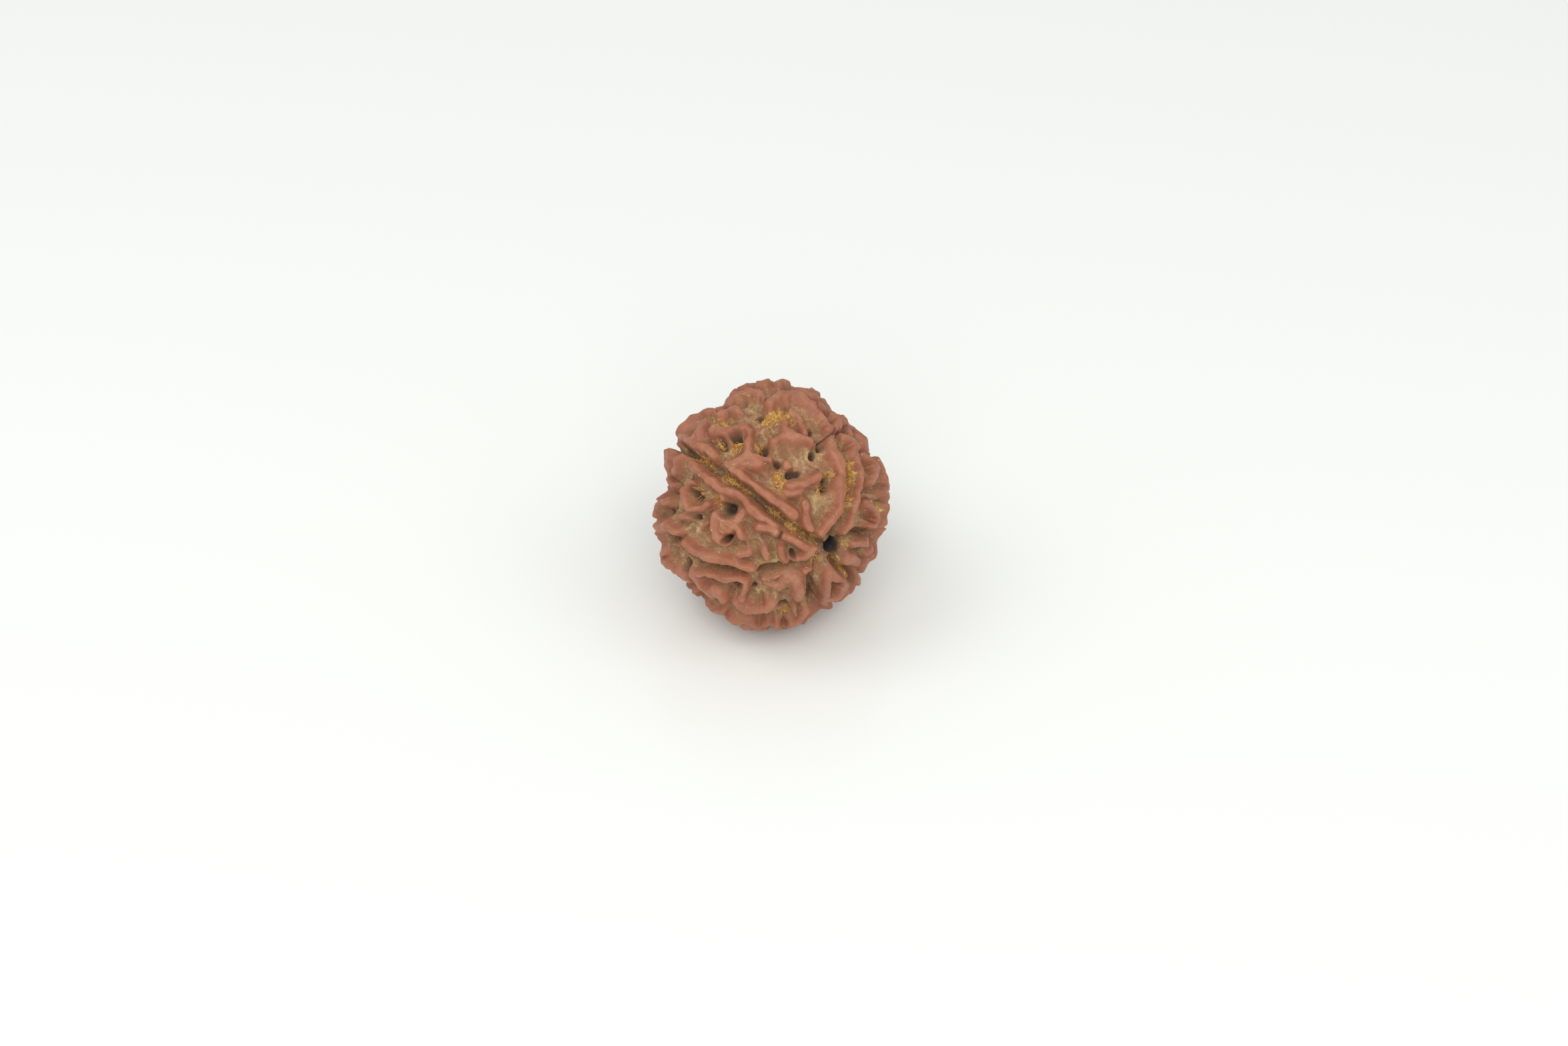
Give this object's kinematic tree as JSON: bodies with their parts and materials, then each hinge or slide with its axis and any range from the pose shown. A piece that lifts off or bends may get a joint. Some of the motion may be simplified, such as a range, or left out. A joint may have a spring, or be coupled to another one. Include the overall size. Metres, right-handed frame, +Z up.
{
  "type": "rudraksha seed",
  "caption": "Round, deeply ridged and pitted brown fruit stone with grooves from pole to pole and a narrow canal through it, used as a prayer bead.",
  "frame": {"origin": "centre of the bounding box, on the surface that the seed rests on", "axes": "+Z up, -Y towards the viewer, so that the canal's near mouth faces -Y and +X"},
  "size_m": [0.0234, 0.0238, 0.024],
  "materials": {
    "seed": "waxy, semi-matte"
  },
  "bodies": {
    "root": {"seed": "seed"}
  },
  "joints": []
}
